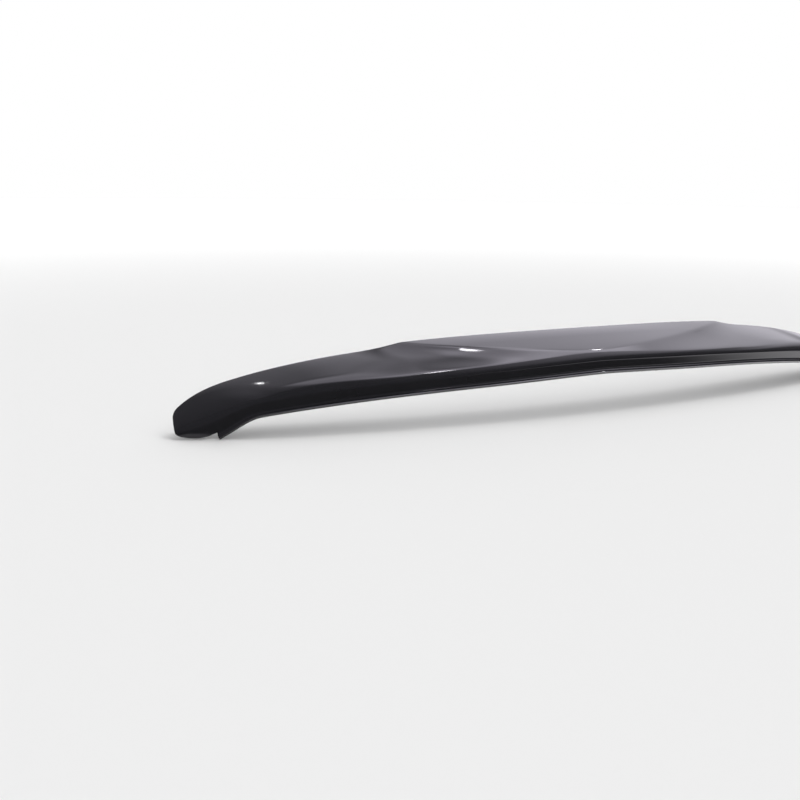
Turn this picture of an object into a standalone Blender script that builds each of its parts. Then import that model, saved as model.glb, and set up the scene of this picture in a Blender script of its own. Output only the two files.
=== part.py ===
"""Hood bug deflector: a low, flush wind and insect guard.

One sheet of smoke acrylic is formed round a rolled nose and held by strips of double-sided foam tape.
X runs across the shield, -Y points forward, +Z is up. The origin is on the centre plane, at the foot
of the front face.
"""

import math

import bmesh
import bpy
from mathutils import Vector

# Overall outline, in metres. A setback is a distance inward from the lobe's tip
HALF_WIDTH = 0.589
LOBE_LENGTH = 0.078
LOBE_ROUNDNESS = 2.1
LOBE_TUCK_SHARE = 0.35
LOBE_TIP_RUN = 0.74
LOBE_DIP = 0.0255
LOBE_DIP_SETBACK = 0.102
LOBE_DIP_LENGTH = 0.078

# The rear edge of the top face. It sweeps back and drops
# towards the tip: these are the amounts there, first the one that grows with the square
REAR_DEPTH = 0.0655
REAR_HEIGHT = 0.0450
REAR_SWEEP = 0.0845
REAR_SWEEP_EASE = 0.0289
REAR_DROP = 0.0223
REAR_DROP_RISE = 0.0458

# The foot of the front face
FOOT_SWEEP = 0.0694
FOOT_DROP = 0.0254
FOOT_DROP_RISE = 0.0154

# The section over the nose, and how its top face narrows and flattens towards the lobe
TOP_FACE = 0.055
TOP_FACE_AT_LOBE = 0.012
TOP_FACE_TAPER_SETBACK = 0.134
TOP_FACE_TAPER_LENGTH = 0.090
TOP_BOW = 0.0008
TOP_SLOPE = math.radians(22)
TOP_SLOPE_AT_LOBE = math.radians(14)
TOP_SLOPE_TAPER_SETBACK = 0.309
TOP_SLOPE_TAPER_LENGTH = 0.180
NOSE_HEIGHT_SHARE = 0.62
NOSE_OVERHANG = 0.0015
NOSE_LEAN_SHARE = 0.06

# Shares of the top face, of the slope below it and of the front face that the two bends take up, with
# softer ones for the crease in the raised middle, up to this share of its half width
CREASE_SHARE = 0.14
CREASE_FRONT_SHARE = 0.30
CREASE_SOFT_SHARE = 0.55
CREASE_SOFT_FRONT_SHARE = 0.50
CREASE_SOFT_WIDTH_SHARE = 0.60
NOSE_ROLL_SHARE = 0.45

# The raised middle: its crest runs from the rear edge at a share of
# the half width to a share of the depth in front, and its slopes take up shares of those two
BULGE_HEIGHT = 0.0055
BULGE_WIDTH_SHARE = 0.472
BULGE_FRONT_SHARE = 0.82
BULGE_CORNER = 1.35
SHOULDER_SHARE = 0.17
BULGE_FRONT_FADE_SHARE = 0.55
BULGE_EASE = 1.6
CREST_SOFTNESS = 0.10

# The sheet and its flared foot flange
WALL = 0.0030
EDGE_ROUNDING = 0.0005
FLANGE_LENGTH = 0.0065
FLANGE_ANGLE = math.radians(25)
FLANGE_BEND = 0.0030
FLANGE_SETBACK = 0.049

# Foam tape
TAPE_THICKNESS = 0.0011
TAPE_CLEARANCE = 0.0003
TAPE_BREAK = 0.006
UPPER_TAPE_WIDTH = 0.012
UPPER_TAPE_INSET = 0.005
UPPER_TAPE_SETBACK = 0.099
UPPER_TAPE_CENTRE_SHARE = 0.83
LOWER_TAPE_WIDTH = 0.006
LOWER_TAPE_INSET = 0.0015
LOWER_TAPE_CENTRE_SHARE = 0.88
LOWER_TAPE_SETBACK = 0.064
END_TAPE_WIDTH = 0.012
END_TAPE_INSET = 0.018
END_TAPE_FIRST_ROW = 4
END_TAPE_ROWS = 9

# Facets, with the shield's rows counted by span, and the steps in which distances are measured
BODY_COLUMNS = 36
LOBE_COLUMNS = 10
LOBE_LAST_TURN = math.radians(87)
SPAN_ROWS = (5, 4, 5, 3)
BEND_ROWS = 3
LEAST_CELL = 0.003
CUT_EDGE_ANGLE = math.radians(60)
RUN_STEP = 0.004
PROBE = 0.0002

ACRYLIC = ("smoke_acrylic", (0.020, 0.021, 0.024), 0.08)
FOAM = ("foam_tape", (0.012, 0.012, 0.012), 0.75)


def smooth_step(value, start, end):
    """0 before start, 1 after end, and an S curve between."""
    share = min(max((value - start) / (end - start), 0.0), 1.0)
    return share * share * (3.0 - 2.0 * share)


def along_span(span, share):
    """A point of a quadratic span given by its start, control and end points."""
    start, control, end = span
    return start.lerp(control, share).lerp(control.lerp(end, share), share)


def grown(square, fourth, reach):
    """Two amounts stated for the tip, growing with the second and fourth power of the reach."""
    part = (reach / HALF_WIDTH) ** 2
    return square * part + fourth * part**2


def tapered(reach, setback, length):
    """0 up to this setback from the lobe's tip, then rising to 1 over this length."""
    start = HALF_WIDTH - setback
    return smooth_step(reach, start, start + length)


def rear_corner(reach):
    """Rear edge of the section, as (y, z), at this distance from the centre plane."""
    depth = REAR_DEPTH + grown(REAR_SWEEP, -REAR_SWEEP_EASE, reach)
    return Vector((depth, REAR_HEIGHT - grown(REAR_DROP, REAR_DROP_RISE, reach)))


def foot_corner(reach):
    """Foot of the front face, as (y, z): it dips inside the lobe."""
    dip = LOBE_DIP * tapered(reach, LOBE_DIP_SETBACK, LOBE_DIP_LENGTH)
    return Vector((grown(FOOT_SWEEP, 0.0, reach), -grown(FOOT_DROP, FOOT_DROP_RISE, reach) - dip))


def crest_reach():
    """Half the width of the raised middle at the rear edge."""
    return HALF_WIDTH * BULGE_WIDTH_SHARE


def section_spans(reach):
    """The section as quadratic spans: top face, crease, nose roll and front face."""
    rear = rear_corner(reach)
    foot = foot_corner(reach)
    taper = tapered(reach, TOP_FACE_TAPER_SETBACK, TOP_FACE_TAPER_LENGTH)
    width = TOP_FACE + (TOP_FACE_AT_LOBE - TOP_FACE) * taper
    flatter = tapered(reach, TOP_SLOPE_TAPER_SETBACK, TOP_SLOPE_TAPER_LENGTH)
    slope = TOP_SLOPE + (TOP_SLOPE_AT_LOBE - TOP_SLOPE) * flatter
    crease = rear - width * Vector((math.cos(slope), math.sin(slope)))
    lean = NOSE_LEAN_SHARE * taper * (crease.x - foot.x) - NOSE_OVERHANG * (1.0 - taper)
    nose = Vector((foot.x + lean, foot.y + NOSE_HEIGHT_SHARE * (crease.y - foot.y)))

    crisp = smooth_step(reach, crest_reach() * CREASE_SOFT_WIDTH_SHARE, crest_reach())
    back = CREASE_SOFT_SHARE + (CREASE_SHARE - CREASE_SOFT_SHARE) * crisp
    front = CREASE_SOFT_FRONT_SHARE + (CREASE_FRONT_SHARE - CREASE_SOFT_FRONT_SHARE) * crisp
    bow = 2.0 * TOP_BOW * width / TOP_FACE * Vector((-math.sin(slope), math.cos(slope)))
    crown = rear.lerp(crease, (1.0 - back) / 2.0) + bow
    crease_start = crease.lerp(crown, 2.0 * back / (1.0 + back))
    roll_start = crease.lerp(nose, front)
    roll_end = nose.lerp(foot, NOSE_ROLL_SHARE)
    return (
        (rear, crown, crease_start),
        (crease_start, crease, roll_start),
        (roll_start, nose, roll_end),
        (roll_end, roll_end.lerp(foot, 0.5), foot),
    )


def section_point(reach, run):
    """A point of the section, as (y, z): run goes from 0 at the rear edge to 1 at the foot."""
    rows = min(max(run, 0.0), 1.0) * sum(SPAN_ROWS)
    for count, span in zip(SPAN_ROWS, section_spans(reach)):
        if rows <= count:
            break
        rows -= count
    return along_span(span, min(rows / count, 1.0))


def lobe_share(reach):
    """How much of the section is left: 1 along the body, falling to 0 round the lobe's tip."""
    past = max(reach - HALF_WIDTH + LOBE_LENGTH, 0.0) / LOBE_LENGTH
    return max(1.0 - past**LOBE_ROUNDNESS, 0.0) ** (1.0 / LOBE_ROUNDNESS)


def bulge(reach, depth):
    """How far the raised middle lifts a point at this depth: level inside its crest, then falling."""
    rear = rear_corner(reach).x
    foot = foot_corner(reach).x
    side = (reach / crest_reach()) ** BULGE_CORNER
    ahead = (max(rear - depth, 0.0) / (rear - foot) / BULGE_FRONT_SHARE) ** BULGE_CORNER
    whole = side + ahead
    if whole == 0.0:
        return BULGE_HEIGHT
    fade = SHOULDER_SHARE + (BULGE_FRONT_FADE_SHARE - SHOULDER_SHARE) * ahead / whole
    past = (whole ** (1.0 / BULGE_CORNER) - 1.0) / fade
    past = (past + math.hypot(past, CREST_SOFTNESS)) / 2.0
    return BULGE_HEIGHT * (1.0 - min(past, 1.0)) ** BULGE_EASE


def outer_point(across, run):
    """A point of the shield's outer face."""
    reach = abs(across)
    left = lobe_share(reach)
    trimmed = section_point(reach, LOBE_TIP_RUN + (run - LOBE_TIP_RUN) * left)
    chord_point = rear_corner(reach).lerp(foot_corner(reach), LOBE_TIP_RUN)
    tucked = chord_point.lerp(section_point(reach, run), left)
    point = trimmed.lerp(tucked, LOBE_TUCK_SHARE)
    return Vector((across, point.x, point.y + bulge(reach, point.x)))


def flange_point(across, row):
    """A point of the flared flange below the foot, counted in rows from the foot."""
    foot = outer_point(across, 1.0)
    above = outer_point(across, 1.0 - PROBE)
    down = (foot - above).normalized()
    flare = Vector((0.0, -math.cos(FLANGE_ANGLE), -math.sin(FLANGE_ANGLE)))
    corner = foot + down * FLANGE_BEND
    if row <= BEND_ROWS:
        bend = (foot, corner, corner + flare * FLANGE_BEND)
        return along_span(bend, row / BEND_ROWS)
    return corner + flare * FLANGE_LENGTH


def column_reach(column):
    """A facet column's distance from the centre plane: even up to the flange's end, closer at the tip."""
    flange_end = HALF_WIDTH - FLANGE_SETBACK
    if column <= BODY_COLUMNS:
        return flange_end * column / BODY_COLUMNS
    turn = LOBE_LAST_TURN * (column - BODY_COLUMNS) / LOBE_COLUMNS
    return flange_end + FLANGE_SETBACK * math.sin(turn)


def make_material(name, color, roughness):
    """A Principled material."""
    material = bpy.data.materials.new(name)
    material.use_nodes = True
    shader = material.node_tree.nodes["Principled BSDF"]
    shader.inputs["Base Color"].default_value = (*color, 1.0)
    shader.inputs["Roughness"].default_value = roughness
    return material


def mapped_grid(columns, rows, place, keeps=None):
    """An open sheet of facets, its corners put by place(column, row) and row 0 at the rear.

    keeps(column, row), if given, says which facets stay.
    """
    sheet = bmesh.new()
    bmesh.ops.create_grid(sheet, x_segments=columns, y_segments=rows, size=1.0)

    def cell(point):
        return (point.x + 1.0) / 2.0 * columns, (1.0 - point.y) / 2.0 * rows

    if keeps:
        cells = ((face, cell(face.calc_center_median())) for face in sheet.faces)
        dropped = [face for face, (column, row) in cells if not keeps(int(column), int(row))]
        bmesh.ops.delete(sheet, geom=dropped, context="FACES")
    for vertex in sheet.verts:
        column, row = cell(vertex.co)
        vertex.co = place(round(column), round(row))
    return sheet


def add_object(name, sheet, collection, material):
    """An object made from a sheet, shaded smooth."""
    mesh = bpy.data.meshes.new(name)
    sheet.to_mesh(mesh)
    sheet.free()
    mesh.materials.append(material)
    mesh.shade_smooth()
    piece = bpy.data.objects.new(name, mesh)
    collection.objects.link(piece)
    return piece


def add_thickness(piece, thickness):
    """Thickness added behind the side that the facets face."""
    solid = piece.modifiers.new("thickness", "SOLIDIFY")
    solid.thickness = thickness
    solid.offset = -1.0
    solid.use_even_offset = True


def make_shield(collection, material):
    """The formed acrylic sheet, whose flange ends square short of each lobe's tip."""
    face_rows = sum(SPAN_ROWS)

    def place(column, row):
        reach = column_reach(column)
        if row <= face_rows:
            return outer_point(reach, row / face_rows)
        return flange_point(reach, row - face_rows)

    def keeps(column, row):
        return row < face_rows or column < BODY_COLUMNS

    columns = BODY_COLUMNS + LOBE_COLUMNS
    half = mapped_grid(columns, face_rows + BEND_ROWS + 1, place, keeps)
    shield = add_object("shield", half, collection, material)

    mirror = shield.modifiers.new("left_half", "MIRROR")
    mirror.merge_threshold = PROBE / 10
    add_thickness(shield, WALL)
    edge = shield.modifiers.new("cut_edges", "BEVEL")
    edge.width = EDGE_ROUNDING
    edge.segments = 1
    edge.limit_method = "ANGLE"
    edge.angle_limit = CUT_EDGE_ANGLE


def inner_point(across, run):
    """A point of a tape's bonded side, just clear of the shield's inner face."""
    sideways = outer_point(across + PROBE, run) - outer_point(across - PROBE, run)
    down = outer_point(across, run + PROBE) - outer_point(across, run - PROBE)
    outward = down.cross(sideways).normalized()
    return outer_point(across, run) - outward * (WALL + TAPE_CLEARANCE)


def run_at(across, distance, origin):
    """The run at this distance along the section from its origin: 0, the rear edge, or 1, the foot."""
    step = RUN_STEP if origin == 0.0 else -RUN_STEP
    run = origin
    travelled = 0.0
    while 0.0 <= run + step <= 1.0:
        stride = (outer_point(across, run + step) - outer_point(across, run)).length
        if travelled + stride >= distance:
            return run + step * (distance - travelled) / stride
        travelled += stride
        run += step
    return run


def stations(start, end):
    """Places across the shield from start to end, in line with the shield's own facets."""
    reaches = [column_reach(column) for column in range(BODY_COLUMNS + LOBE_COLUMNS + 1)]
    lines = [-reach for reach in reversed(reaches[1:])] + reaches
    inside = [line for line in lines if start + LEAST_CELL < line < end - LEAST_CELL]
    return [start, *inside, end]


def make_edge_tape(name, ends, margin, origin, collection, material):
    """A tape that follows the rear edge or the foot, between two places across the shield."""
    places = stations(*ends)

    def place(column, row):
        distance = margin[row] if origin == 0.0 else margin[1 - row]
        return inner_point(places[column], run_at(places[column], distance, origin))

    tape = add_object(name, mapped_grid(len(places) - 1, 1, place), collection, material)
    add_thickness(tape, TAPE_THICKNESS)


def make_tape_row(prefix, ends, margin, origin, collection, material):
    """A centre length and two side lengths of tape along one edge."""
    centre_end, side_start, side_end = ends
    lengths = {
        "left": (-side_end, -side_start),
        "centre": (-centre_end, centre_end),
        "right": (side_start, side_end),
    }
    for place_name, span in lengths.items():
        make_edge_tape(f"{prefix}_{place_name}", span, margin, origin, collection, material)


def make_upper_tapes(collection, material):
    """Tape under the rear margin, left out across the shoulders of the raised middle."""
    side_start = crest_reach() * (1.0 + SHOULDER_SHARE) + TAPE_BREAK
    ends = (crest_reach() * UPPER_TAPE_CENTRE_SHARE, side_start, HALF_WIDTH - UPPER_TAPE_SETBACK)
    margin = (UPPER_TAPE_INSET, UPPER_TAPE_INSET + UPPER_TAPE_WIDTH)
    make_tape_row("upper_tape", ends, margin, 0.0, collection, material)


def make_lower_tapes(collection, material):
    """Narrow tape behind the foot of the front face."""
    centre_end = crest_reach() * LOWER_TAPE_CENTRE_SHARE
    ends = (centre_end, centre_end + TAPE_BREAK, HALF_WIDTH - LOWER_TAPE_SETBACK)
    margin = (LOWER_TAPE_INSET, LOWER_TAPE_INSET + LOWER_TAPE_WIDTH)
    make_tape_row("lower_tape", ends, margin, 1.0, collection, material)


def make_end_tape(name, side, collection, material):
    """A short tape inside one lobe, running down beside its tip."""
    outer = HALF_WIDTH - END_TAPE_INSET
    ends = sorted((side * outer, side * (outer - END_TAPE_WIDTH)))
    places = stations(*ends)

    def place(column, row):
        return inner_point(places[column], (END_TAPE_FIRST_ROW + row) / sum(SPAN_ROWS))

    strip = mapped_grid(len(places) - 1, END_TAPE_ROWS, place)
    tape = add_object(name, strip, collection, material)
    add_thickness(tape, TAPE_THICKNESS)


def main():
    for old in list(bpy.data.objects):
        bpy.data.objects.remove(old, do_unlink=True)
    collection = bpy.data.collections.new("hood_bug_deflector")
    bpy.context.scene.collection.children.link(collection)
    acrylic = make_material(*ACRYLIC)
    foam = make_material(*FOAM)

    make_shield(collection, acrylic)
    make_upper_tapes(collection, foam)
    make_lower_tapes(collection, foam)
    make_end_tape("end_tape_left", -1, collection, foam)
    make_end_tape("end_tape_right", 1, collection, foam)


main()
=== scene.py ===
"""Looks of the hood bug deflector: a formed smoke acrylic sheet and the foam tape behind it."""

import math

import bmesh
import bpy
from mathutils import Matrix, Vector


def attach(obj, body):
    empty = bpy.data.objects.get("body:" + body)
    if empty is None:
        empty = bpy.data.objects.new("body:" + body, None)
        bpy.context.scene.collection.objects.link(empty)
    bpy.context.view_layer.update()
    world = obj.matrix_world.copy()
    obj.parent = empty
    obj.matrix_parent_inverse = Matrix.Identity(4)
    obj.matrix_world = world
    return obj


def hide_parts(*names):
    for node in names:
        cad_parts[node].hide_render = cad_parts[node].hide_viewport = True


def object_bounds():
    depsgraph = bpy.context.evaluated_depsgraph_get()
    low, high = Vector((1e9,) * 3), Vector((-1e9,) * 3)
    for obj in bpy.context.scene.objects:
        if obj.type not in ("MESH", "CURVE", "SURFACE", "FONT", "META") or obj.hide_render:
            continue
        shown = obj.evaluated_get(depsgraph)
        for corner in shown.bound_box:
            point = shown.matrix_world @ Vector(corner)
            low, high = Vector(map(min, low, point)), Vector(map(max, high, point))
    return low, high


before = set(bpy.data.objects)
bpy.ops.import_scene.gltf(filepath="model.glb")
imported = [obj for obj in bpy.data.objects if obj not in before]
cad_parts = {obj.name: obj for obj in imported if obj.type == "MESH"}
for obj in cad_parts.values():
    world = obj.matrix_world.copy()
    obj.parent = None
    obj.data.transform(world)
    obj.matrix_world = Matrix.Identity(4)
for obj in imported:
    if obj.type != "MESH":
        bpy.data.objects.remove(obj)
cad_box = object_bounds()

# The shield's shape, in metres: the formulas of the CAD source, with its values but for those of
# the raised middle's crest and shoulders, eased so that reflections run over them smoothly

# Half the whole width, and the rounded lobe at each end with the dip of its foot
HALF_WIDTH = 0.589
LOBE_LENGTH = 0.078
LOBE_ROUNDNESS = 2.1
LOBE_TUCK_SHARE = 0.35
LOBE_TIP_RUN = 0.74
LOBE_DIP = 0.0255
LOBE_DIP_SETBACK = 0.102
LOBE_DIP_LENGTH = 0.078

# The rear edge and the foot, and how far they sweep back and drop up to the tip
REAR_DEPTH = 0.0655
REAR_HEIGHT = 0.0450
REAR_SWEEP = 0.0845
REAR_SWEEP_EASE = 0.0289
REAR_DROP = 0.0223
REAR_DROP_RISE = 0.0458
FOOT_SWEEP = 0.0694
FOOT_DROP = 0.0254
FOOT_DROP_RISE = 0.0154

# The section over the nose, and how its top face narrows and flattens towards the lobe
TOP_FACE = 0.055
TOP_FACE_AT_LOBE = 0.012
TOP_FACE_TAPER_SETBACK = 0.134
TOP_FACE_TAPER_LENGTH = 0.090
TOP_BOW = 0.0008
TOP_SLOPE = math.radians(22)
TOP_SLOPE_AT_LOBE = math.radians(14)
TOP_SLOPE_TAPER_SETBACK = 0.309
TOP_SLOPE_TAPER_LENGTH = 0.180
NOSE_HEIGHT_SHARE = 0.62
NOSE_OVERHANG = 0.0015
NOSE_LEAN_SHARE = 0.06

# Shares of the faces beside them that the crease and the nose's roll take up, with softer ones
# for the crease in the raised middle
CREASE_SHARE = 0.14
CREASE_FRONT_SHARE = 0.30
CREASE_SOFT_SHARE = 0.55
CREASE_SOFT_FRONT_SHARE = 0.50
CREASE_SOFT_WIDTH_SHARE = 0.60
NOSE_ROLL_SHARE = 0.45

# The raised middle: its height, its outline seen from above and how softly its shoulders fall
BULGE_HEIGHT = 0.0055
BULGE_WIDTH_SHARE = 0.472
BULGE_FRONT_SHARE = 0.86
BULGE_CORNER = 1.35
SHOULDER_SHARE = 0.26
BULGE_FRONT_FADE_SHARE = 0.84
BULGE_EASE = 2.5
CREST_SOFTNESS = 0.05

# The sheet, its cut edges and the flange along its foot
WALL = 0.0030
EDGE_ROUNDING = 0.0005
EDGE_SEGMENTS = 3
CUT_EDGE_ANGLE = math.radians(60)
FLANGE_LENGTH = 0.0065
FLANGE_ANGLE = math.radians(25)
FLANGE_BEND = 0.0030
FLANGE_SETBACK = 0.049

# Facets of the skin: rows along each span of the section, columns along half the width, and a
# short step for finding the foot's direction
SPAN_ROWS = (5, 4, 5, 3)
ROW_STEPS = 5
BEND_ROWS = 6
BODY_COLUMNS = 150
LOBE_COLUMNS = 36
LOBE_LAST_TURN = math.radians(87)
PROBE = 0.0002


def smooth_step(value, start, end):
    """0 before start, 1 after end, and an S curve between."""
    share = min(max((value - start) / (end - start), 0.0), 1.0)
    return share * share * (3.0 - 2.0 * share)


def along_span(span, share):
    """A point of a quadratic span given by its start, control and end points."""
    start, control, end = span
    return start.lerp(control, share).lerp(control.lerp(end, share), share)


def grown(square, fourth, reach):
    """Two amounts stated for the tip, growing with the second and fourth power of the reach."""
    part = (reach / HALF_WIDTH) ** 2
    return square * part + fourth * part**2


def tapered(reach, setback, length):
    """0 up to this setback from the lobe's tip, then rising to 1 over this length."""
    start = HALF_WIDTH - setback
    return smooth_step(reach, start, start + length)


def rear_corner(reach):
    """Rear edge of the section, as (y, z), at this distance from the centre plane."""
    depth = REAR_DEPTH + grown(REAR_SWEEP, -REAR_SWEEP_EASE, reach)
    return Vector((depth, REAR_HEIGHT - grown(REAR_DROP, REAR_DROP_RISE, reach)))


def foot_corner(reach):
    """Foot of the front face, as (y, z): it dips inside the lobe."""
    dip = LOBE_DIP * tapered(reach, LOBE_DIP_SETBACK, LOBE_DIP_LENGTH)
    return Vector((grown(FOOT_SWEEP, 0.0, reach), -grown(FOOT_DROP, FOOT_DROP_RISE, reach) - dip))


def crest_reach():
    """Half the width of the raised middle at the rear edge."""
    return HALF_WIDTH * BULGE_WIDTH_SHARE


def section_spans(reach):
    """The section as quadratic spans: top face, crease, nose roll and front face."""
    rear = rear_corner(reach)
    foot = foot_corner(reach)
    taper = tapered(reach, TOP_FACE_TAPER_SETBACK, TOP_FACE_TAPER_LENGTH)
    width = TOP_FACE + (TOP_FACE_AT_LOBE - TOP_FACE) * taper
    flatter = tapered(reach, TOP_SLOPE_TAPER_SETBACK, TOP_SLOPE_TAPER_LENGTH)
    slope = TOP_SLOPE + (TOP_SLOPE_AT_LOBE - TOP_SLOPE) * flatter
    crease = rear - width * Vector((math.cos(slope), math.sin(slope)))
    lean = NOSE_LEAN_SHARE * taper * (crease.x - foot.x) - NOSE_OVERHANG * (1.0 - taper)
    nose = Vector((foot.x + lean, foot.y + NOSE_HEIGHT_SHARE * (crease.y - foot.y)))

    crisp = smooth_step(reach, crest_reach() * CREASE_SOFT_WIDTH_SHARE, crest_reach())
    back = CREASE_SOFT_SHARE + (CREASE_SHARE - CREASE_SOFT_SHARE) * crisp
    front = CREASE_SOFT_FRONT_SHARE + (CREASE_FRONT_SHARE - CREASE_SOFT_FRONT_SHARE) * crisp
    bow = 2.0 * TOP_BOW * width / TOP_FACE * Vector((-math.sin(slope), math.cos(slope)))
    crown = rear.lerp(crease, (1.0 - back) / 2.0) + bow
    crease_start = crease.lerp(crown, 2.0 * back / (1.0 + back))
    roll_start = crease.lerp(nose, front)
    roll_end = nose.lerp(foot, NOSE_ROLL_SHARE)
    return (
        (rear, crown, crease_start),
        (crease_start, crease, roll_start),
        (roll_start, nose, roll_end),
        (roll_end, roll_end.lerp(foot, 0.5), foot),
    )


def section_point(reach, run):
    """A point of the section, as (y, z): run goes from 0 at the rear edge to 1 at the foot."""
    rows = min(max(run, 0.0), 1.0) * sum(SPAN_ROWS)
    for count, span in zip(SPAN_ROWS, section_spans(reach)):
        if rows <= count:
            break
        rows -= count
    return along_span(span, min(rows / count, 1.0))


def lobe_share(reach):
    """How much of the section is left: 1 along the body, falling to 0 round the lobe's tip."""
    past = max(reach - HALF_WIDTH + LOBE_LENGTH, 0.0) / LOBE_LENGTH
    return max(1.0 - past**LOBE_ROUNDNESS, 0.0) ** (1.0 / LOBE_ROUNDNESS)


def bulge(reach, depth):
    """How far the raised middle lifts a point at this depth: level inside its crest, then less."""
    rear = rear_corner(reach).x
    foot = foot_corner(reach).x
    side = (reach / crest_reach()) ** BULGE_CORNER
    ahead = (max(rear - depth, 0.0) / (rear - foot) / BULGE_FRONT_SHARE) ** BULGE_CORNER
    whole = side + ahead
    if whole == 0.0:
        return BULGE_HEIGHT
    fade = SHOULDER_SHARE + (BULGE_FRONT_FADE_SHARE - SHOULDER_SHARE) * ahead / whole
    past = (whole ** (1.0 / BULGE_CORNER) - 1.0) / fade
    past = (past + math.hypot(past, CREST_SOFTNESS)) / 2.0
    return BULGE_HEIGHT * (1.0 - min(past, 1.0)) ** BULGE_EASE


def outer_point(across, run):
    """A point of the shield's outer face."""
    reach = abs(across)
    left = lobe_share(reach)
    trimmed = section_point(reach, LOBE_TIP_RUN + (run - LOBE_TIP_RUN) * left)
    chord_point = rear_corner(reach).lerp(foot_corner(reach), LOBE_TIP_RUN)
    tucked = chord_point.lerp(section_point(reach, run), left)
    point = trimmed.lerp(tucked, LOBE_TUCK_SHARE)
    return Vector((across, point.x, point.y + bulge(reach, point.x)))


def flange_point(across, row):
    """A point of the flared flange below the foot, counted in rows from the foot."""
    foot = outer_point(across, 1.0)
    above = outer_point(across, 1.0 - PROBE)
    down = (foot - above).normalized()
    flare = Vector((0.0, -math.cos(FLANGE_ANGLE), -math.sin(FLANGE_ANGLE)))
    corner = foot + down * FLANGE_BEND
    if row <= BEND_ROWS:
        bend = (foot, corner, corner + flare * FLANGE_BEND)
        return along_span(bend, row / BEND_ROWS)
    return corner + flare * FLANGE_LENGTH


def column_reach(column):
    """A column's distance from the centre plane: even to the flange's end, closer at the tip."""
    flange_end = HALF_WIDTH - FLANGE_SETBACK
    if column <= BODY_COLUMNS:
        return flange_end * column / BODY_COLUMNS
    turn = LOBE_LAST_TURN * (column - BODY_COLUMNS) / LOBE_COLUMNS
    return flange_end + FLANGE_SETBACK * math.sin(turn)


def mapped_grid(columns, rows, place, keeps):
    """The facets that keeps(column, row) names, with corners put by place and row 0 at the rear."""
    sheet = bmesh.new()
    bmesh.ops.create_grid(sheet, x_segments=columns, y_segments=rows, size=1.0)

    def cell(point):
        return (point.x + 1.0) / 2.0 * columns, (1.0 - point.y) / 2.0 * rows

    cells = ((face, cell(face.calc_center_median())) for face in sheet.faces)
    dropped = [face for face, (column, row) in cells if not keeps(int(column), int(row))]
    bmesh.ops.delete(sheet, geom=dropped, context="FACES")
    for vertex in sheet.verts:
        column, row = cell(vertex.co)
        vertex.co = place(round(column), round(row))
    return sheet


def add_object(name, sheet, *materials):
    """An object made from a sheet of facets."""
    mesh = bpy.data.meshes.new(name)
    sheet.to_mesh(mesh)
    sheet.free()
    for material in materials:
        mesh.materials.append(material)
    made = bpy.data.objects.new(name, mesh)
    bpy.context.scene.collection.objects.link(made)
    return made


# Materials: each has a span of colours and of roughness, and bumps of these depths in metres

ACRYLIC_COLORS = ((0.010, 0.0102, 0.0118), (0.0155, 0.0155, 0.018))
ACRYLIC_ROUGHNESS = (0.045, 0.085)
ACRYLIC_SPECULAR_TINT = (0.97, 0.94, 1.0, 1.0)
ACRYLIC_IOR = 1.49
WAVE_DEPTH = 0.00016
ORANGE_PEEL_DEPTH = 0.000006
CUT_EDGE_COLORS = ((0.016, 0.016, 0.018), (0.028, 0.028, 0.031))
CUT_EDGE_ROUGHNESS = (0.16, 0.30)
CUT_EDGE_GRAIN_DEPTH = 0.00002
FOAM_COLORS = ((0.010, 0.010, 0.0105), (0.020, 0.020, 0.0205))
FOAM_ROUGHNESS = (0.68, 0.86)
FOAM_CELLS_PER_METRE = 2200.0
FOAM_CELL_DEPTH = 0.00012
SMEAR_STRETCH = (0.35, 1.0, 1.0)
WAVE_STRETCH = (0.5, 1.0, 1.0)

# Most of a noise texture's values lie in this span
NOISE_SPAN = (0.3, 0.7)

# A Mix node's sockets for the share, the two colours and their mix
MIX_SHARE, MIX_LOW, MIX_HIGH, MIX_RESULT = 0, 6, 7, 2


def new_material(name):
    """A material with its node tree and its shader."""
    material = bpy.data.materials.new(name)
    material.use_nodes = True
    tree = material.node_tree
    return material, tree, tree.nodes["Principled BSDF"]


def noise(tree, coordinates, scale, detail, roughness, stretch=None):
    """A noise texture on the object, optionally with its coordinates stretched."""
    if stretch:
        mapping = tree.nodes.new("ShaderNodeMapping")
        mapping.inputs["Scale"].default_value = stretch
        tree.links.new(coordinates, mapping.inputs["Vector"])
        coordinates = mapping.outputs["Vector"]
    texture = tree.nodes.new("ShaderNodeTexNoise")
    texture.inputs["Scale"].default_value = scale
    texture.inputs["Detail"].default_value = detail
    texture.inputs["Roughness"].default_value = roughness
    tree.links.new(coordinates, texture.inputs["Vector"])
    return texture.outputs["Fac"]


def span_map(tree, value, low, high):
    """A noise value turned into a span from low to high."""
    mapping = tree.nodes.new("ShaderNodeMapRange")
    mapping.inputs["From Min"].default_value = NOISE_SPAN[0]
    mapping.inputs["From Max"].default_value = NOISE_SPAN[1]
    mapping.inputs["To Min"].default_value = low
    mapping.inputs["To Max"].default_value = high
    tree.links.new(value, mapping.inputs["Value"])
    return mapping.outputs["Result"]


def color_mix(tree, value, low, high):
    """A colour between low and high, by the value."""
    mix = tree.nodes.new("ShaderNodeMix")
    mix.data_type = "RGBA"
    mix.inputs[MIX_LOW].default_value = (*low, 1.0)
    mix.inputs[MIX_HIGH].default_value = (*high, 1.0)
    tree.links.new(value, mix.inputs[MIX_SHARE])
    return mix.outputs[MIX_RESULT]


def bump(tree, height, depth, normal=None):
    """A bump whose height of 1 stands for this depth in metres."""
    node = tree.nodes.new("ShaderNodeBump")
    node.inputs["Strength"].default_value = 1.0
    node.inputs["Distance"].default_value = depth
    tree.links.new(height, node.inputs["Height"])
    if normal:
        tree.links.new(normal, node.inputs["Normal"])
    return node.outputs["Normal"]


def position(tree):
    """Places on the object, in metres."""
    return tree.nodes.new("ShaderNodeTexCoord").outputs["Object"]


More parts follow.
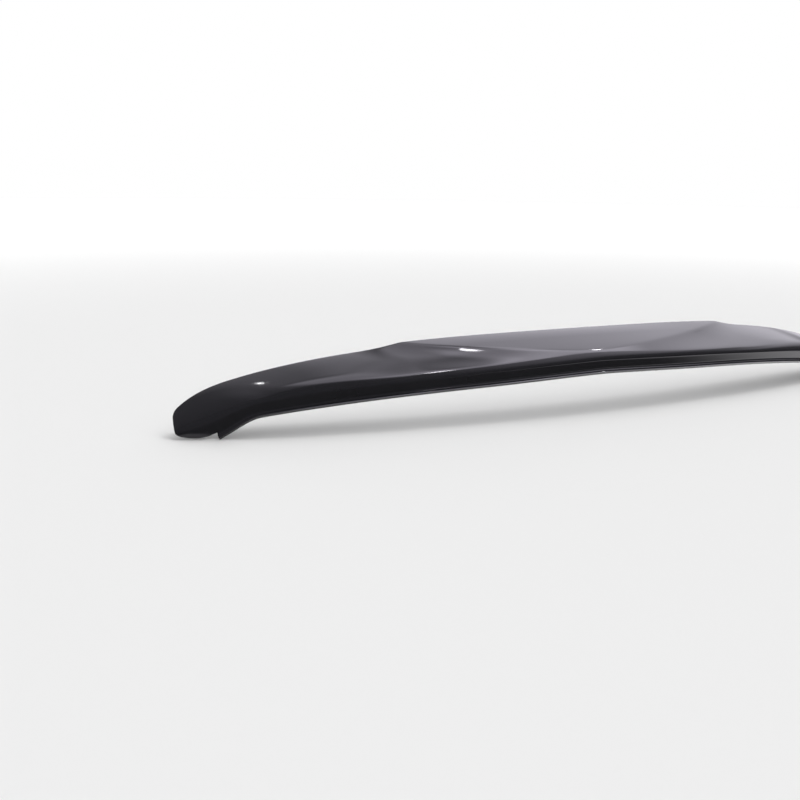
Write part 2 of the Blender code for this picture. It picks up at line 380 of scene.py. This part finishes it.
def acrylic_material():
    """Polished smoke acrylic: near black, with faint forming waves, orange peel and haze."""
    material, tree, shader = new_material("smoke_acrylic_polished")
    place = position(tree)
    haze = noise(tree, place, scale=9.0, detail=3.0, roughness=0.55)
    tree.links.new(color_mix(tree, haze, *ACRYLIC_COLORS), shader.inputs["Base Color"])
    smear = noise(tree, place, scale=26.0, detail=4.0, roughness=0.6, stretch=SMEAR_STRETCH)
    tree.links.new(span_map(tree, smear, *ACRYLIC_ROUGHNESS), shader.inputs["Roughness"])
    shader.inputs["IOR"].default_value = ACRYLIC_IOR
    shader.inputs["Specular Tint"].default_value = ACRYLIC_SPECULAR_TINT
    waves = noise(tree, place, scale=22.0, detail=1.0, roughness=0.4, stretch=WAVE_STRETCH)
    orange_peel = noise(tree, place, scale=420.0, detail=2.0, roughness=0.5)
    formed = bump(tree, waves, WAVE_DEPTH)
    tree.links.new(bump(tree, orange_peel, ORANGE_PEEL_DEPTH, formed), shader.inputs["Normal"])
    return material


def cut_edge_material():
    """The sheet's trimmed edge: flame polished, a little duller and lighter than its faces."""
    material, tree, shader = new_material("smoke_acrylic_edge")
    place = position(tree)
    grain = noise(tree, place, scale=240.0, detail=3.0, roughness=0.6)
    tree.links.new(color_mix(tree, grain, *CUT_EDGE_COLORS), shader.inputs["Base Color"])
    tree.links.new(span_map(tree, grain, *CUT_EDGE_ROUGHNESS), shader.inputs["Roughness"])
    shader.inputs["IOR"].default_value = ACRYLIC_IOR
    tree.links.new(bump(tree, grain, CUT_EDGE_GRAIN_DEPTH), shader.inputs["Normal"])
    return material


def foam_material():
    """Black foam tape: matt, with fine closed cells."""
    material, tree, shader = new_material("foam_tape_cells")
    place = position(tree)
    cells = tree.nodes.new("ShaderNodeTexVoronoi")
    cells.inputs["Scale"].default_value = FOAM_CELLS_PER_METRE
    tree.links.new(place, cells.inputs["Vector"])
    patches = noise(tree, place, scale=60.0, detail=3.0, roughness=0.6)
    tree.links.new(color_mix(tree, patches, *FOAM_COLORS), shader.inputs["Base Color"])
    tree.links.new(span_map(tree, patches, *FOAM_ROUGHNESS), shader.inputs["Roughness"])
    cell_bump = bump(tree, cells.outputs["Distance"], FOAM_CELL_DEPTH)
    tree.links.new(cell_bump, shader.inputs["Normal"])
    return material


# The object's pieces

def make_shield(acrylic, cut_edge):
    """The formed acrylic sheet, whose flange ends square short of each lobe's tip."""
    face_rows = sum(SPAN_ROWS) * ROW_STEPS

    def place(column, row):
        reach = column_reach(column)
        if row <= face_rows:
            return outer_point(reach, row / face_rows)
        return flange_point(reach, row - face_rows)

    def keeps(column, row):
        return row < face_rows or column < BODY_COLUMNS

    half = mapped_grid(BODY_COLUMNS + LOBE_COLUMNS, face_rows + BEND_ROWS + 1, place, keeps)
    shield = add_object("shield_skin", half, acrylic, cut_edge)
    shield.data.shade_smooth()
    mirror = shield.modifiers.new("left_half", "MIRROR")
    mirror.merge_threshold = PROBE / 10
    solid = shield.modifiers.new("thickness", "SOLIDIFY")
    solid.thickness = WALL
    solid.offset = -1.0
    solid.use_even_offset = True
    solid.material_offset_rim = 1
    edge = shield.modifiers.new("cut_edges", "BEVEL")
    edge.width = EDGE_ROUNDING
    edge.segments = EDGE_SEGMENTS
    edge.limit_method = "ANGLE"
    edge.angle_limit = CUT_EDGE_ANGLE
    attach(shield, "root")
    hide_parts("shield")


def dress_tapes(foam):
    """The foam tapes keep their CAD solids and take the foam's look."""
    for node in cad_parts.values():
        if "tape" in node.name:
            node.data.materials.clear()
            node.data.materials.append(foam)


make_shield(acrylic_material(), cut_edge_material())
dress_tapes(foam_material())


# The stage: a pale floor, a dark card and a glowing strip on it that paint reflections only, a
# studio sky and the camera

WHITE = (1.0, 1.0, 1.0)
FLOOR_COLOR = (0.82, 0.82, 0.82, 1.0)
FLOOR_RADIUS = 9.0
FLOOR_GAP = 0.0003
CARD_HALF_SIDE = 1.5
CARD_CENTRE = (-0.60, -1.515)
CARD_LIFT = 0.0005
STRIP_COLOR = (0.1, 0.1, 0.1, 1.0)
STRIP_ENDS = (-0.54, 1.20)
STRIP_OFFSETS = (0.070, 0.020)
STRIP_STEPS = 60
STRIP_LIFT = 0.0008
STAGE_ROUGHNESS = 0.9

# Soft steps, each as its start, its end and, where they aren't 0 and 1, the amounts there. The
# floor's goes by the distance from the centre, the card's and strip's by the place across
FLOOR_FADE = (1.0, 5.0, 0.0, 0.30)
# The card's colour and glow and the strip's glow paint the shield's reflections: shade and
# highlights that only its mirror shows
CARD_PAINTED_SHADE = (0.85, 1.35, 0.10, 0.75)
CARD_PAINTED_GLOW = (0.82, 1.15, 0.0, 1.4)
STRIP_PAINTED_GLOW = (-0.1, 0.4, 1.8, 3.5)

# Small far lamps: the direction to each, its strength and its width in degrees
GLINTS = (
    ((0.59, 0.20, 0.78), 0.04, 1.5),
    ((0.312, 0.022, 0.95), 0.06, 3.0),
    ((0.038, 0.668, 0.743), 0.008, 1.0),
)

# The sky as a level ceiling, on which a direction has a place across, to the right, and along, to
# the back, both per unit of height. Most of these are soft steps of its brightness over them
LOWEST_SLOPE = 0.02
SIDE_RISE = (-0.30, 0.10, 0.25, 0.60)
SIDE_BACK_ACROSS = (0.22, 0.42)
SIDE_BACK_ALONG = (0.42, 0.72)
WINDOW = (1.04, 1.6, 2.6, 1.85)
WINDOW_EDGE = (0.41, 0.575)
WINDOW_EDGE_LEAN = 0.10
FRONT_LEVEL = 0.22
FRONT_NEAR_RISE = (0.15, 0.87, 0.0, 1.75)
FRONT_NEAR_FALL = (0.9, 1.3, 1.0, 0.35)
FRONT_FAR = (1.36, 1.58, 0.0, 1.2)
FRONT_FADE = (-1.28, 0.20)
FRONT_EDGE = (-0.10, 0.06)
FRONT_EDGE_BEND = 1.1
FRONT_EDGE_SLOPE = 1.15

# Soft glows on that ceiling: strength, then rise and fall across, and rise and fall along
GLOWS = (
    (2.0, (0.20, 0.35), (1.0, 0.85), (-0.05, 0.0), (0.26, 0.12)),
    (1.4, (0.02, 0.12), (0.38, 0.30), (0.0, 0.12), (0.62, 0.42)),
    (1.2, (0.44, 0.50), (0.66, 0.56), (0.08, 0.16), (0.50, 0.35)),
    (0.4, (0.28, 0.36), (0.50, 0.44), (0.10, 0.20), (0.65, 0.50)),
)

# The sky near the horizon, by a direction's X, Y or Z: the ceiling dims as it nears it, and gives
# way to the room's right and back sides
CEILING_DIMMING = (0.05, 0.45, 0.5, 1.0)
CEILING_START = (0.0, 0.12)
RIGHT_SIDE = (0.85, 0.95, 0.10, 0.75)
BACK_SIDE = (-0.05, 0.35, 0.0, 0.5)

# The part of the sky that mirrors see as the plain white backdrop
BACKDROP_BACK = (-0.05, 0.35)
BACKDROP_LOW = (0.25, 0.05)

# The light added for matt surfaces alone, and the tint of what glossy ones mirror
DIFFUSE_FILL = 0.30
MIRRORED_TINT = (0.98, 0.955, 1.045)

# The photograph's camera: angles in radians, and the focal length in pixels of its width
CAMERA_PLACE = (-0.87336, -1.13684, 0.27309)
CAMERA_YAW = -0.455243641
CAMERA_PITCH = 0.224659916
CAMERA_ROLL = 0.0139608346
CAMERA_FOCAL_PIXELS = 1016.06657
CAMERA_SENSOR = 36.0
CAMERA_CLIP_START = 0.01
PHOTO_WIDTH = 800


def maths(tree, operation, first, second):
    """A maths node's result: each input is a number or a socket."""
    node = tree.nodes.new("ShaderNodeMath")
    node.operation = operation
    for socket, value in zip(node.inputs, (first, second)):
        if isinstance(value, (int, float)):
            socket.default_value = value
        else:
            tree.links.new(value, socket)
    return node.outputs[0]


def ramp(tree, value, start, end, low=0.0, high=1.0):
    """The value turned into a smooth step from low, at start, to high, at end."""
    node = tree.nodes.new("ShaderNodeMapRange")
    node.interpolation_type = "SMOOTHSTEP"
    limits = {"From Min": start, "From Max": end, "To Min": low, "To Max": high}
    for name, number in limits.items():
        node.inputs[name].default_value = number
    tree.links.new(value, node.inputs["Value"])
    return node.outputs["Result"]


def blend(tree, low, high, share):
    """A value between low and high."""
    rise = maths(tree, "SUBTRACT", high, low)
    return maths(tree, "ADD", low, maths(tree, "MULTIPLY", rise, share))


def product(tree, *factors):
    """All the factors multiplied."""
    result = factors[0]
    for factor in factors[1:]:
        result = maths(tree, "MULTIPLY", result, factor)
    return result


def split_vector(tree, vector):
    """A vector's X, Y and Z."""
    parts = tree.nodes.new("ShaderNodeSeparateXYZ")
    tree.links.new(vector, parts.inputs[0])
    return parts.outputs


def add_stage(name, sheet, place):
    """A matt piece of the stage, with its node tree and its shader."""
    material, tree, shader = new_material(name)
    shader.inputs["Roughness"].default_value = STAGE_ROUGHNESS
    shader.inputs["Specular IOR Level"].default_value = 0.0
    shader.inputs["Emission Color"].default_value = (*WHITE, 1.0)
    piece = add_object(name, sheet, material)
    piece.location = place
    return piece, tree, shader


def show_in_reflections_only(piece):
    """Neither the camera nor the diffuse light meets the piece, and it casts no shadow."""
    piece.visible_camera = False
    piece.visible_diffuse = False
    piece.visible_transmission = False
    piece.visible_shadow = False


def make_floor():
    """A pale floor that brightens to the backdrop's white in the distance, for the camera alone."""
    sheet = bmesh.new()
    bmesh.ops.create_circle(sheet, cap_ends=True, segments=96, radius=FLOOR_RADIUS)
    _, tree, shader = add_stage("floor", sheet, (0.0, 0.0, cad_box[0].z - FLOOR_GAP))
    shader.inputs["Base Color"].default_value = FLOOR_COLOR
    distance = tree.nodes.new("ShaderNodeVectorMath")
    distance.operation = "LENGTH"
    tree.links.new(position(tree), distance.inputs[0])
    fade = ramp(tree, distance.outputs["Value"], *FLOOR_FADE)
    seen = tree.nodes.new("ShaderNodeLightPath").outputs["Is Camera Ray"]
    tree.links.new(product(tree, fade, seen), shader.inputs["Emission Strength"])


def make_painted_reflection_card():
    """A dark card on the floor in front, seen only in reflections: painted shade in the shield's
    front face, and a painted glow towards its right end.
    """
    sheet = bmesh.new()
    bmesh.ops.create_grid(sheet, x_segments=1, y_segments=1, size=CARD_HALF_SIDE)
    place = (*CARD_CENTRE, cad_box[0].z + CARD_LIFT)
    card, tree, shader = add_stage("painted_reflection_card", sheet, place)
    across = split_vector(tree, position(tree))[0]
    # Painted shade and glow, seen only in reflections: dark in the shield's front face, paler
    # towards the right
    tree.links.new(ramp(tree, across, *CARD_PAINTED_SHADE), shader.inputs["Base Color"])
    tree.links.new(ramp(tree, across, *CARD_PAINTED_GLOW), shader.inputs["Emission Strength"])
    show_in_reflections_only(card)


def make_edge_light():
    """A glowing strip on the floor in front of the foot, seen only in reflections, which paints the
    flange's pale line as a reflected highlight and lights nothing.
    """
    sheet = bmesh.new()
    start, end = STRIP_ENDS
    lines = []
    for step in range(STRIP_STEPS + 1):
        across = start + (end - start) * step / STRIP_STEPS
        foot = foot_corner(min(abs(across), HALF_WIDTH)).x
        lines.append([sheet.verts.new((across, foot - offset, 0.0)) for offset in STRIP_OFFSETS])
    for (front, rear), (next_front, next_rear) in zip(lines, lines[1:]):
        sheet.faces.new((front, next_front, next_rear, rear))
    strip, tree, shader = add_stage("edge_light", sheet, (0.0, 0.0, cad_box[0].z + STRIP_LIFT))
    shader.inputs["Base Color"].default_value = STRIP_COLOR
    across = split_vector(tree, position(tree))[0]
    # Painted reflection: the strip's glow, brighter to the right, shows only as the flange's pale
    # line
    tree.links.new(ramp(tree, across, *STRIP_PAINTED_GLOW), shader.inputs["Emission Strength"])
    show_in_reflections_only(strip)


def make_glint(direction, strength, width):
    """A small far lamp whose mirror image is one of the short highlights along the shield."""
    lamp = bpy.data.lights.new("glint", "SUN")
    lamp.energy = strength
    lamp.angle = math.radians(width)
    holder = bpy.data.objects.new("glint", lamp)
    holder.rotation_euler = Vector(direction).to_track_quat("Z", "Y").to_euler()
    bpy.context.scene.collection.objects.link(holder)


def ceiling_light(tree, across, along):
    """The ceiling: a dim side, a window to the right of it, a darker front, and glows."""
    side_back = product(tree, ramp(tree, across, *SIDE_BACK_ACROSS),
                        ramp(tree, along, *SIDE_BACK_ALONG))
    side = maths(tree, "ADD", ramp(tree, across, *SIDE_RISE), side_back)
    leaning = maths(tree, "ADD", across, maths(tree, "MULTIPLY", along, WINDOW_EDGE_LEAN))
    window = ramp(tree, across, *WINDOW)
    rear = blend(tree, side, window, ramp(tree, leaning, *WINDOW_EDGE))

    past_bend = maths(tree, "MAXIMUM", maths(tree, "SUBTRACT", across, FRONT_EDGE_BEND), 0.0)
    bend = maths(tree, "MULTIPLY", past_bend, FRONT_EDGE_SLOPE)
    behind_edge = maths(tree, "SUBTRACT", along, bend)
    near = product(tree, ramp(tree, across, *FRONT_NEAR_RISE), ramp(tree, across, *FRONT_NEAR_FALL))
    pale = maths(tree, "ADD", near, ramp(tree, across, *FRONT_FAR))
    fading = product(tree, pale, ramp(tree, behind_edge, *FRONT_FADE))
    front = maths(tree, "ADD", FRONT_LEVEL, fading)
    light = blend(tree, front, rear, ramp(tree, behind_edge, *FRONT_EDGE))

    for strength, across_rise, across_fall, along_rise, along_fall in GLOWS:
        glow = product(tree, strength, ramp(tree, across, *across_rise),
                       ramp(tree, across, *across_fall), ramp(tree, along, *along_rise),
                       ramp(tree, along, *along_fall))
        light = maths(tree, "ADD", light, glow)
    return light


def studio_light(tree, right, back, up):
    """How bright the studio is in a direction: its ceiling, and its sides near the horizon."""
    slope = maths(tree, "MAXIMUM", up, LOWEST_SLOPE)
    across = maths(tree, "DIVIDE", right, slope)
    along = maths(tree, "DIVIDE", back, slope)
    ceiling = product(tree, ceiling_light(tree, across, along), ramp(tree, up, *CEILING_DIMMING))
    sides = maths(tree, "ADD", ramp(tree, right, *RIGHT_SIDE), ramp(tree, back, *BACK_SIDE))
    return blend(tree, sides, ceiling, ramp(tree, up, *CEILING_START))


def make_sky():
    """White for the camera, and behind the object for mirrors too, and the studio for the rest."""
    world = bpy.data.worlds.new("studio")
    bpy.context.scene.world = world
    world.use_nodes = True
    tree = world.node_tree
    direction = tree.nodes.new("ShaderNodeTexCoord").outputs["Generated"]
    right, back, up = split_vector(tree, direction)
    rays = tree.nodes.new("ShaderNodeLightPath").outputs
    mirrors = maths(tree, "ADD", rays["Is Glossy Ray"], rays["Is Transmission Ray"])
    backdrop = product(tree, mirrors, ramp(tree, back, *BACKDROP_BACK),
                       ramp(tree, up, *BACKDROP_LOW))
    fill = maths(tree, "MULTIPLY", rays["Is Diffuse Ray"], DIFFUSE_FILL)
    studio = maths(tree, "ADD", studio_light(tree, right, back, up), fill)
    lit = blend(tree, studio, 1.0, backdrop)
    tint = color_mix(tree, rays["Is Glossy Ray"], WHITE, MIRRORED_TINT)
    background = tree.nodes["Background"]
    tree.links.new(blend(tree, lit, 1.0, rays["Is Camera Ray"]), background.inputs["Strength"])
    tree.links.new(tint, background.inputs["Color"])


def make_camera():
    """The photograph's camera, which looks along its own -Z."""
    level = Vector((math.sin(CAMERA_YAW), -math.cos(CAMERA_YAW), 0.0))
    back = level * math.cos(CAMERA_PITCH) + Vector((0.0, 0.0, math.sin(CAMERA_PITCH)))
    right = Vector((0.0, 0.0, 1.0)).cross(back).normalized()
    up = back.cross(right)
    rolled_right = right * math.cos(CAMERA_ROLL) + up * math.sin(CAMERA_ROLL)
    rolled_up = up * math.cos(CAMERA_ROLL) - right * math.sin(CAMERA_ROLL)
    data = bpy.data.cameras.new("photo_view")
    data.sensor_width = CAMERA_SENSOR
    data.lens = CAMERA_FOCAL_PIXELS / PHOTO_WIDTH * CAMERA_SENSOR
    data.clip_start = CAMERA_CLIP_START
    camera = bpy.data.objects.new("photo_view", data)
    turn = Matrix((rolled_right, rolled_up, back)).transposed()
    camera.matrix_world = Matrix.Translation(CAMERA_PLACE) @ turn.to_4x4()
    bpy.context.scene.collection.objects.link(camera)
    bpy.context.scene.camera = camera


make_floor()
make_painted_reflection_card()
make_edge_light()
make_sky()
for glint in GLINTS:
    make_glint(*glint)
make_camera()
bpy.context.scene.view_settings.view_transform = "Standard"
